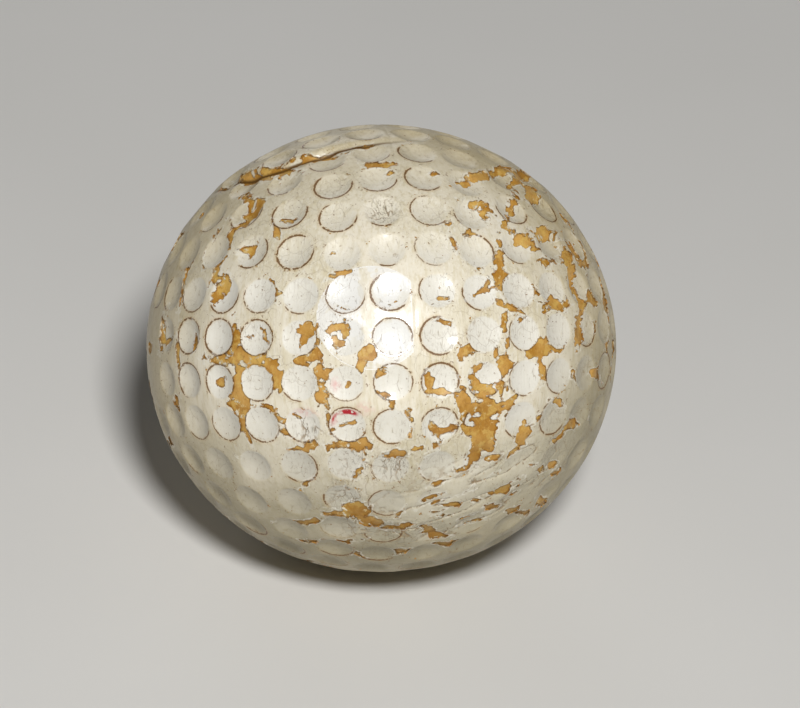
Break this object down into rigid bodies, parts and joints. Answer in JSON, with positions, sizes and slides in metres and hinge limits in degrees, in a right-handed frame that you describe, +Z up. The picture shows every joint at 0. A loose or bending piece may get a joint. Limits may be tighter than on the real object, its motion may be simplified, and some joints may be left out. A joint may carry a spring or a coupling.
{
  "type": "golf ball",
  "caption": "Rubber-wound golf ball with a filled centre sac, tape and thread windings, two moulded dimpled cover cups and a worn cream enamel coat.",
  "frame": {"origin": "centre of the ball", "axes": "+X from the left to the right label pole, through the middle of both cover cups; the moulding seam lies in the plane x = 0; +Z up"},
  "size_m": [0.0424, 0.0404, 0.0404],
  "materials": {
    "centre_paste": "matt heavy paste",
    "black_rubber": "dull",
    "red_rubber": "dull",
    "tape_rubber": "dull",
    "thread_rubber": "dull",
    "gutta_cover": "aged, half matt",
    "cream_enamel": "worn oil enamel, half gloss, chipped and crazed"
  },
  "bodies": {
    "root": {"centre_paste": "centre_paste", "sac_plug": "black_rubber", "centre_sac": "red_rubber", "tape_winding": "tape_rubber", "thread_winding": "thread_rubber", "left_cover_half": "gutta_cover", "right_cover_half": "gutta_cover", "enamel_coat": "cream_enamel"}
  },
  "joints": []
}
